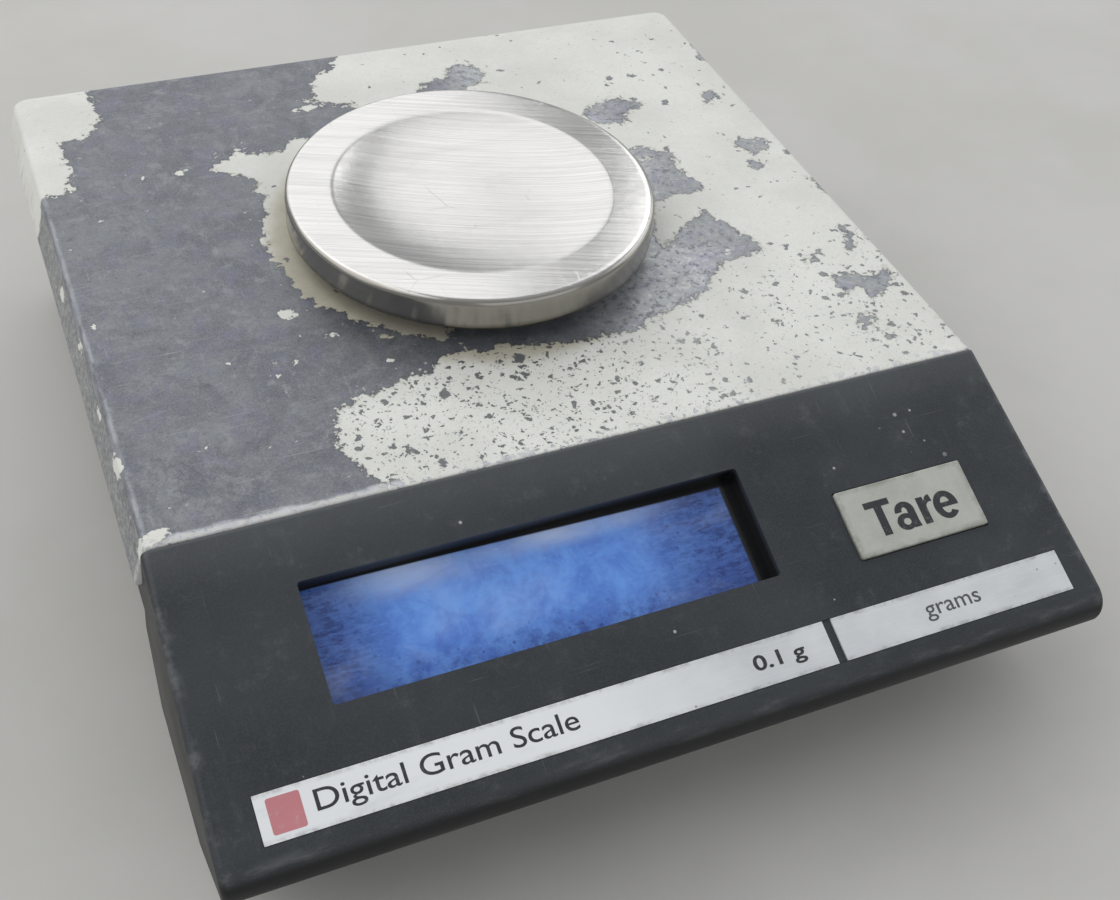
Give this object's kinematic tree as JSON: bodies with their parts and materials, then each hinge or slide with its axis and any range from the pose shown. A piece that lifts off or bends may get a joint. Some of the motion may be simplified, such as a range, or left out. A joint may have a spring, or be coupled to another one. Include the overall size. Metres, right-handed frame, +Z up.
{
  "type": "digital gram scale",
  "caption": "Low wedge-shaped top-loading balance with a round dished pan, sloping front panel with display window and tare key, flared sheet cover and levelling feet.",
  "frame": {"origin": "centre of the footprint, on the surface the feet stand on", "axes": "+X right, +Y to the back, +Z up; the display panel faces -Y"},
  "size_m": [0.206, 0.2413, 0.0752],
  "materials": {
    "cover_paint": "off-white paint, worn through to bare metal in patches",
    "base_black": "fine-textured black moulding",
    "bezel_black": "fine-textured charcoal moulding",
    "window_blue": "tinted display filter",
    "gasket_rubber": "black foam rubber",
    "display_glass": "display cell",
    "circuit_board": "solder-resist green",
    "label_grey": "printed light-grey strip",
    "key_grey": "light-grey key cap",
    "pan_steel": "brushed stainless steel",
    "screw_steel": "zinc-plated steel",
    "spring_steel": "spring wire",
    "cell_aluminium": "machined",
    "carrier_alloy": "cast",
    "black_plastic": "component moulding",
    "capacitor_sleeve": "shrink sleeve",
    "tinned_steel": "tinned plate",
    "cable_grey": "flat cable insulation",
    "seal_silicone": "silicone sealant",
    "foot_rubber": "moulded rubber",
    "insert_brass": "turned",
    "thumb_wheel": "knurled moulding on a steel stud"
  },
  "bodies": {
    "chassis": {"base_tray": "base_black", "top_cover": "cover_paint", "front_bezel": "bezel_black", "display_window": "window_blue", "window_gasket": "gasket_rubber", "display_module": "display_glass", "display_board": "circuit_board", "display_board_screws": "screw_steel", "label_strip_left": "label_grey", "label_strip_right": "label_grey", "key_switch": "black_plastic", "key_spring": "spring_steel", "load_cell": "cell_aluminium", "load_cell_screws": "screw_steel", "gauge_seals": "seal_silicone", "overload_stop": "screw_steel", "stop_lock_nut": "screw_steel", "cover_studs": "screw_steel", "cover_screws": "screw_steel", "bezel_screws": "screw_steel", "main_board": "circuit_board", "main_board_screws": "screw_steel", "board_chips": "black_plastic", "adc_shield": "tinned_steel", "board_capacitors": "capacitor_sleeve", "voltage_regulator": "black_plastic", "heat_sink": "cell_aluminium", "power_jack": "black_plastic", "serial_port": "tinned_steel", "port_standoffs": "screw_steel", "cable_headers": "black_plastic", "flat_cable": "cable_grey", "load_cell_cable": "cable_grey", "rear_feet": "foot_rubber", "foot_inserts": "insert_brass"},
    "tare_key": {"tare_key": "key_grey", "switch_plunger": "black_plastic"},
    "pan_carrier": {"pan_carrier": "carrier_alloy", "carrier_spacer": "cell_aluminium", "carrier_screws": "screw_steel", "support_disc": "carrier_alloy", "cushion_ring": "foot_rubber"},
    "weighing_pan": {"weighing_pan": "pan_steel"},
    "left_foot": {"left_foot_pad": "foot_rubber"},
    "left_foot_screw": {"left_foot_screw": "thumb_wheel"},
    "right_foot": {"right_foot_pad": "foot_rubber"},
    "right_foot_screw": {"right_foot_screw": "thumb_wheel"}
  },
  "joints": [
    {"name": "tare_key_press", "type": "slide", "parent": "chassis", "child": "tare_key", "axis": [0, 0.3502, -0.9367], "range_m": [0, 0.0012], "stiffness_N_per_m": 400, "springref_m": -0.0015, "deforming": ["key_spring"]},
    {"name": "pan_deflection", "type": "slide", "parent": "chassis", "child": "pan_carrier", "axis": [0, 0, 1], "range_m": [-0.0004, 0], "stiffness_N_per_m": 40000, "springref_m": 0.00003, "deforming": ["load_cell", "gauge_seals"]},
    {"name": "pan_lift_off", "type": "slide", "parent": "pan_carrier", "child": "weighing_pan", "axis": [0, 0, 1], "range_m": [0, 0.03]},
    {"name": "left_foot_height", "type": "slide", "parent": "chassis", "child": "left_foot", "axis": [0, 0, 1], "range_m": [-0.003, 0.002]},
    {"name": "left_foot_turn", "type": "hinge", "parent": "left_foot", "child": "left_foot_screw", "pos_m": [-0.082, -0.078, 0.0055], "axis": [0, 0, 1], "range_deg": [-1081, 721]},
    {"name": "right_foot_height", "type": "slide", "parent": "chassis", "child": "right_foot", "axis": [0, 0, 1], "range_m": [-0.003, 0.002]},
    {"name": "right_foot_turn", "type": "hinge", "parent": "right_foot", "child": "right_foot_screw", "pos_m": [0.082, -0.078, 0.0055], "axis": [0, 0, 1], "range_deg": [-1081, 721]}
  ],
  "couplings": [
    {"joint": "left_foot_turn", "follows": "left_foot_height", "rad_per_m": 6283.2},
    {"joint": "right_foot_turn", "follows": "right_foot_height", "rad_per_m": 6283.2}
  ]
}
